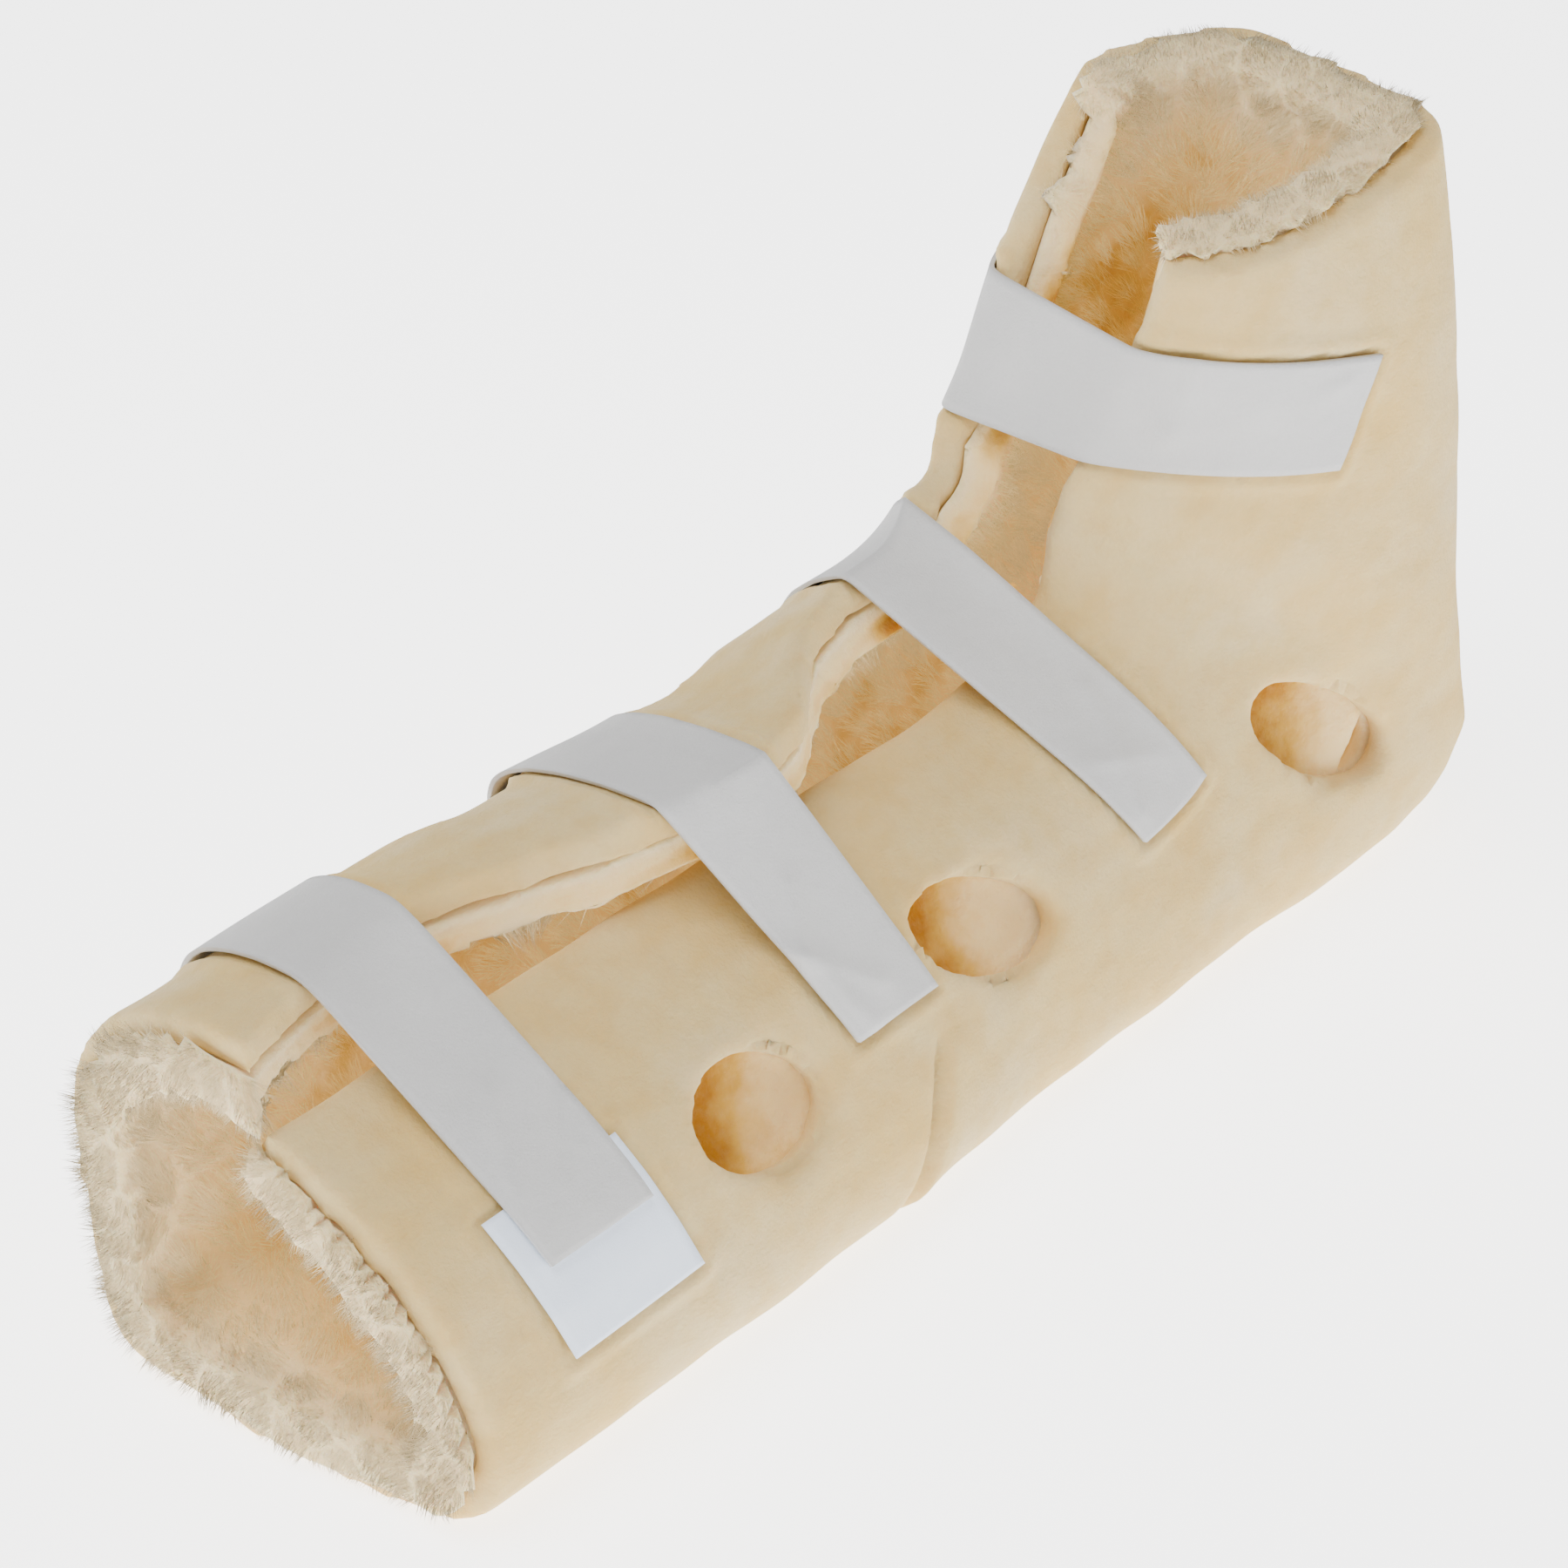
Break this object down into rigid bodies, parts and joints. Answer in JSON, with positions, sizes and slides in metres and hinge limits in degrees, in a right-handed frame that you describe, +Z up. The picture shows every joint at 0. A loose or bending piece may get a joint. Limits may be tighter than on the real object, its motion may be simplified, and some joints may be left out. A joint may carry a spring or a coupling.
{
  "type": "heel protection boot",
  "caption": "Open fleece-lined foam boot that cradles the calf and heel of a person in bed, closed over the front by soft straps.",
  "frame": {"origin": "on the floor, below the middle of the boot's box", "axes": "+X from the open calf end to the heel, +Z up with the toe end at the top, -Y the side where the straps end"},
  "size_m": [0.4636, 0.1418, 0.2581],
  "materials": {
    "foam": "brushed cream foam, matt",
    "fleece": "pale pinkish-beige pile, matt",
    "strap": "smooth grey-white brushed tape, matt",
    "label": "bare white woven label"
  },
  "bodies": {
    "root": {"foam_shell": "foam", "fleece_lining": "fleece", "strap_calf_end": "strap", "strap_calf_middle": "strap", "strap_instep": "strap", "strap_foot": "strap", "blank_label": "label"}
  },
  "joints": []
}
